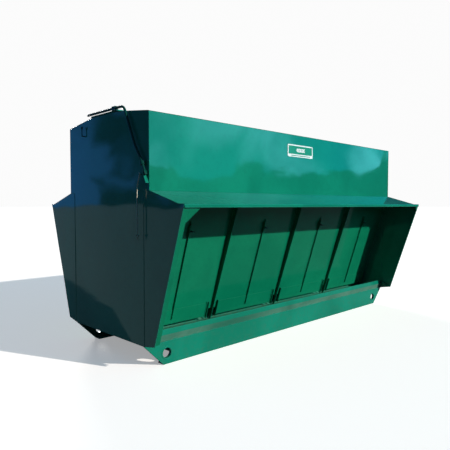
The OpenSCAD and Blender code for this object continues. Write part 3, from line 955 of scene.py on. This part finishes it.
def rounded_tile(bm, cx, cz, w, h, y, thick, r):
    """A thin tile on the front sheet with round corners, its outer edge bevelled."""
    def outline(inset, yy):
        pts = []
        for sx, sz, a0 in ((1, 1, 0), (-1, 1, 90), (-1, -1, 180), (1, -1, 270)):
            for k in range(7):
                a = math.radians(a0 + 15 * k)
                pts.append(bm.verts.new((cx + sx * (w / 2 - r) + (r - inset) * math.cos(a), yy,
                                         cz + sz * (h / 2 - r) + (r - inset) * math.sin(a))))
        return pts
    rings = [outline(0, y), outline(0, y - thick + 0.0006), outline(0.0006, y - thick)]
    m = len(rings[0])
    for a, b in zip(rings, rings[1:]):
        for k in range(m):
            bm.faces.new((a[k], a[(k + 1) % m], b[(k + 1) % m], b[k]))
    bm.faces.new(rings[0])
    bm.faces.new(rings[-1])


PLATE_X, PANEL_Z = -0.020, 2.186


def grain(bm, cx, tip):
    """One grain of the ear, leaning up (tip 1) or down (tip -1) from the stalk."""
    cz, lean, sides = PANEL_Z + tip * 0.013, tip * math.radians(62), 20
    rim = []
    for j in range(sides):
        a = 2 * math.pi * j / sides
        px, pz = 0.0078 * math.cos(a) * (1 - 0.35 * math.sin(a)), 0.019 * math.sin(a)
        rim.append((cx + px * math.cos(lean) + tip * pz * math.sin(lean),
                    cz + tip * pz * math.cos(lean) - px * math.sin(lean)))
    back = [bm.verts.new((px, -0.7538, pz)) for px, pz in rim]
    face = [bm.verts.new((px, -0.7546, pz)) for px, pz in rim]
    for j in range(sides):
        k = (j + 1) % sides
        bm.faces.new((back[j], back[k], face[k], face[j]))
    bm.faces.new(face)
    bm.faces.new(back)


def make_nameplate():
    bm = bmesh.new()
    rounded_tile(bm, PLATE_X, 2.176, 0.500, 0.146, -0.750, 0.003, 0.010)
    finish_piece("nameplate_piece", bm, [WHITE], "feeder", ["nameplate"])
    bm = bmesh.new()
    rounded_tile(bm, PLATE_X, PANEL_Z, 0.468, 0.098, -0.753, 0.001, 0.006)
    rounded_tile(bm, PLATE_X, 2.120, 0.380, 0.009, -0.753, 0.0008, 0.0035)
    finish_piece("nameplate_panel_piece", bm, [PANEL], "feeder", ["nameplate_panel"])
    bm = bmesh.new()
    rounded_tile(bm, PLATE_X, PANEL_Z, 0.190, 0.0035, -0.7538, 0.0006, 0.0015)
    for k in range(5):
        for tip in (-1, 1):
            grain(bm, -0.082 + 0.032 * k, tip)
    finish_piece("nameplate_ear", bm, [WHITE], "feeder", ())
    bm = bmesh.new()
    for x in (-0.256, 0.216):
        for z in (2.109, 2.243):
            lathe(bm, (x, -0.753, z), (0, -1, 0),
                  [(0.004, 0), (0.0039, 0.0006), (0.0032, 0.0013), (0.0019, 0.0018), (0.0006, 0.002)], 20)
    finish_piece("nameplate_rivets_piece", bm, [ZINC], "feeder", ["nameplate_rivets"])


make_nameplate()

# ---------------------------------------------------------------- stage and light

# Directions the two suns shine in, and the colours of the floor and the mirrored sky
SUN_WAY = Vector((-0.25, 0.66, -0.325))
FILL_WAY = Vector((-0.42, -0.90, -0.22))
FLOOR_SEEN = (0.95, 0.89, 0.84)
FLOOR_LIFT = 0.34
FLOOR_BOUNCE = (0.05, 0.06, 0.06)
FLOOR_GLOSS = (0.22, 0.30, 0.31)
BACK_SEEN = (0.97, 0.97, 0.97)
SKY_LOW = (0.014, 0.065, 0.095)
SKY_HIGH = (0.014, 0.070, 0.140)
BOX_DEEP = (0.0, 0.75, 1.25)
BOX_BRIGHT = (0.5, 2.6, 3.4)
BACK_DARK = (0.010, 0.035, 0.050)
BACK_BLUE = (0.06, 0.30, 0.80)
TREES = (0.002, 0.03, 0.018)


def make_stage():
    bm = bmesh.new()
    bmesh.ops.create_circle(bm, cap_ends=True, segments=96, radius=400)
    for v in bm.verts:
        v.co.z = -0.0006
    mesh = bpy.data.meshes.new("floor")
    bm.to_mesh(mesh)
    bm.free()
    floor = bpy.data.objects.new("floor", mesh)
    bpy.context.scene.collection.objects.link(floor)
    mat = bpy.data.materials.new("floor_pale")
    nodes, links, bsdf = links_of(mat)
    path = nodes.new("ShaderNodeLightPath")
    seen = path.outputs["Is Camera Ray"]
    bounced = mixed(nodes, links, path.outputs["Is Glossy Ray"], FLOOR_BOUNCE, FLOOR_GLOSS)
    links.new(mixed(nodes, links, seen, bounced, FLOOR_SEEN), bsdf.inputs["Base Color"])
    bsdf.inputs["Emission Color"].default_value = (1, 1, 1, 1)
    links.new(maths(nodes, links, "MULTIPLY", seen, FLOOR_LIFT), bsdf.inputs["Emission Strength"])
    bsdf.inputs["Roughness"].default_value = 0.9
    bsdf.inputs["Specular IOR Level"].default_value = 0.0
    mesh.materials.append(mat)


def make_sun(name, way, energy, angle, color):
    data = bpy.data.lights.new(name, "SUN")
    data.energy = energy
    data.angle = math.radians(angle)
    data.color = color
    sun = bpy.data.objects.new(name, data)
    sun.rotation_mode = "QUATERNION"
    sun.rotation_quaternion = way.to_track_quat("-Z", "Y")
    bpy.context.scene.collection.objects.link(sun)


def make_world():
    """Sky that the paint mirrors: a bright box to the front, dark below it, blue patches behind."""
    world = bpy.data.worlds.new("studio")
    bpy.context.scene.world = world
    world.use_nodes = True
    nodes, links = world.node_tree.nodes, world.node_tree.links
    nodes.clear()
    tc = nodes.new("ShaderNodeTexCoord")
    split = nodes.new("ShaderNodeSeparateXYZ")
    links.new(tc.outputs["Generated"], split.inputs[0])
    x, y, z = split.outputs
    heading = maths(nodes, links, "SUBTRACT", maths(nodes, links, "MULTIPLY", x, 0.77),
                    maths(nodes, links, "MULTIPLY", y, 0.64))
    way = tc.outputs["Generated"]
    cloud = tex_noise(nodes, links, way, 6.0, 5.0, 0.55, 0.4)
    blobs = spread(nodes, links, tex_noise(nodes, links, way, 7.0, 3.0, 0.5, 0.3), 0.42, 0.54)
    edge = maths(nodes, links, "MULTIPLY", tex_noise(nodes, links, way, 10.0, 3.0, 0.6), 0.155)
    lift = maths(nodes, links, "SUBTRACT", z, edge)
    above = spread(nodes, links, lift, -0.006, 0.004)
    front = maths(nodes, links, "MULTIPLY", spread(nodes, links, heading, 0.5, 0.85),
                  spread(nodes, links, z, 0.5, 0.25))
    back = maths(nodes, links, "MULTIPLY", spread(nodes, links, heading, -0.35, -0.7),
                 spread(nodes, links, z, 0.4, 0.2))
    sky = mixed(nodes, links, spread(nodes, links, z, 0.0, 0.7), SKY_LOW, SKY_HIGH)
    glow = mixed(nodes, links, spread(nodes, links, cloud, 0.45, 0.62), BOX_DEEP, BOX_BRIGHT)
    sky = mixed(nodes, links, back, sky, mixed(nodes, links, blobs, BACK_DARK, BACK_BLUE))
    sky = mixed(nodes, links, maths(nodes, links, "MULTIPLY", above, front), sky, glow)
    under = maths(nodes, links, "SUBTRACT", 1.0, spread(nodes, links, z, -0.01, 0.0))
    sky = mixed(nodes, links, under, sky, TREES)
    low = maths(nodes, links, "SUBTRACT", front, maths(nodes, links, "MULTIPLY", above, front))
    sky = mixed(nodes, links, low, sky, TREES)
    lit = nodes.new("ShaderNodeBackground")
    links.new(sky, lit.inputs["Color"])
    seen = nodes.new("ShaderNodeBackground")
    seen.inputs["Color"].default_value = (*BACK_SEEN, 1)
    path = nodes.new("ShaderNodeLightPath")
    mix = nodes.new("ShaderNodeMixShader")
    out = nodes.new("ShaderNodeOutputWorld")
    links.new(path.outputs["Is Camera Ray"], mix.inputs[0])
    links.new(lit.outputs[0], mix.inputs[1])
    links.new(seen.outputs[0], mix.inputs[2])
    links.new(mix.outputs[0], out.inputs["Surface"])


make_stage()
make_sun("key", SUN_WAY, 4.6, 1.0, (1.0, 0.97, 0.92))
make_sun("rear_fill", FILL_WAY, 2.4, 14.0, (0.95, 0.98, 1.0))
make_world()
